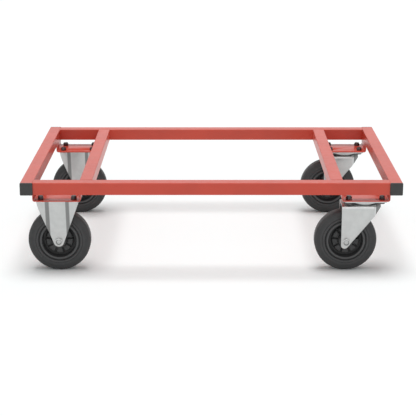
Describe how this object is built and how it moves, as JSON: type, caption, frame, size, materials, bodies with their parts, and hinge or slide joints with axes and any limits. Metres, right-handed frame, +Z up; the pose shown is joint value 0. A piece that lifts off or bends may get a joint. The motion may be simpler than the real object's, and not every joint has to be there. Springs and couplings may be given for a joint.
{
  "type": "pallet dolly",
  "caption": "Low rectangular square-tube frame on fixed and swivel castors with rubber wheels, for rolling a loaded pallet about.",
  "frame": {"origin": "on the floor under the middle of the frame", "axes": "+X along the frame towards the swivel castors, +Y from the front rail to the rear rail, +Z up"},
  "size_m": [1.2, 0.81, 0.305],
  "materials": {
    "frame_paint": "satin red powder coat",
    "cap_plastic": "plain black moulded plastic",
    "castor_zinc": "bright zinc plate, lightly mottled",
    "axle_zinc": "bright zinc plate",
    "fastener_black": "blackened steel",
    "tyre_rubber": "black rubber, slightly dull",
    "wheel_plastic": "black moulded plastic",
    "bearing_steel": "plain steel, greased"
  },
  "bodies": {
    "frame": {"end_tube_left": "frame_paint", "cross_tube_left": "frame_paint", "end_tube_right": "frame_paint", "cross_tube_right": "frame_paint", "front_rail": "frame_paint", "rear_rail": "frame_paint", "carrier_front_left": "frame_paint", "end_cap_front_left": "cap_plastic", "carrier_front_right": "frame_paint", "end_cap_front_right": "cap_plastic", "carrier_rear_left": "frame_paint", "end_cap_rear_left": "cap_plastic", "carrier_rear_right": "frame_paint", "end_cap_rear_right": "cap_plastic", "fixed_bracket_front": "castor_zinc", "swivel_plate_front": "castor_zinc", "fixed_bracket_rear": "castor_zinc", "swivel_plate_rear": "castor_zinc", "castor_bolts": "fastener_black", "castor_nuts": "fastener_black", "kingpins": "castor_zinc", "lower_races": "castor_zinc", "fixed_axle_bolts": "axle_zinc", "fixed_axle_nuts": "axle_zinc", "fixed_axle_tubes": "bearing_steel"},
    "swivel_front": {"fork_front": "castor_zinc", "ball_ring_front": "bearing_steel", "swivel_axle_bolt_front": "axle_zinc", "swivel_axle_nut_front": "axle_zinc", "swivel_axle_tube_front": "bearing_steel", "axle_spacers_front": "axle_zinc"},
    "swivel_rear": {"fork_rear": "castor_zinc", "ball_ring_rear": "bearing_steel", "swivel_axle_bolt_rear": "axle_zinc", "swivel_axle_nut_rear": "axle_zinc", "swivel_axle_tube_rear": "bearing_steel", "axle_spacers_rear": "axle_zinc"},
    "wheel_front_left": {"tyre_front_left": "tyre_rubber", "wheel_centre_front_left": "wheel_plastic", "roller_cage_front_left": "bearing_steel"},
    "wheel_front_right": {"tyre_front_right": "tyre_rubber", "wheel_centre_front_right": "wheel_plastic", "roller_cage_front_right": "bearing_steel"},
    "wheel_rear_left": {"tyre_rear_left": "tyre_rubber", "wheel_centre_rear_left": "wheel_plastic", "roller_cage_rear_left": "bearing_steel"},
    "wheel_rear_right": {"tyre_rear_right": "tyre_rubber", "wheel_centre_rear_right": "wheel_plastic", "roller_cage_rear_right": "bearing_steel"}
  },
  "joints": [
    {"name": "swivel_front_turn", "type": "hinge", "parent": "frame", "child": "swivel_front", "pos_m": [0.488, -0.328, 0.24], "axis": [0, 0, 1], "continuous": true},
    {"name": "swivel_rear_turn", "type": "hinge", "parent": "frame", "child": "swivel_rear", "pos_m": [0.488, 0.328, 0.24], "axis": [0, 0, 1], "continuous": true},
    {"name": "wheel_front_left_roll", "type": "hinge", "parent": "frame", "child": "wheel_front_left", "pos_m": [-0.488, -0.328, 0.1], "axis": [0, 1, 0], "continuous": true},
    {"name": "wheel_front_right_roll", "type": "hinge", "parent": "swivel_front", "child": "wheel_front_right", "pos_m": [0.431, -0.328, 0.1], "axis": [0, 1, 0], "continuous": true},
    {"name": "wheel_rear_left_roll", "type": "hinge", "parent": "frame", "child": "wheel_rear_left", "pos_m": [-0.488, 0.328, 0.1], "axis": [0, 1, 0], "continuous": true},
    {"name": "wheel_rear_right_roll", "type": "hinge", "parent": "swivel_rear", "child": "wheel_rear_right", "pos_m": [0.431, 0.328, 0.1], "axis": [0, 1, 0], "continuous": true}
  ]
}
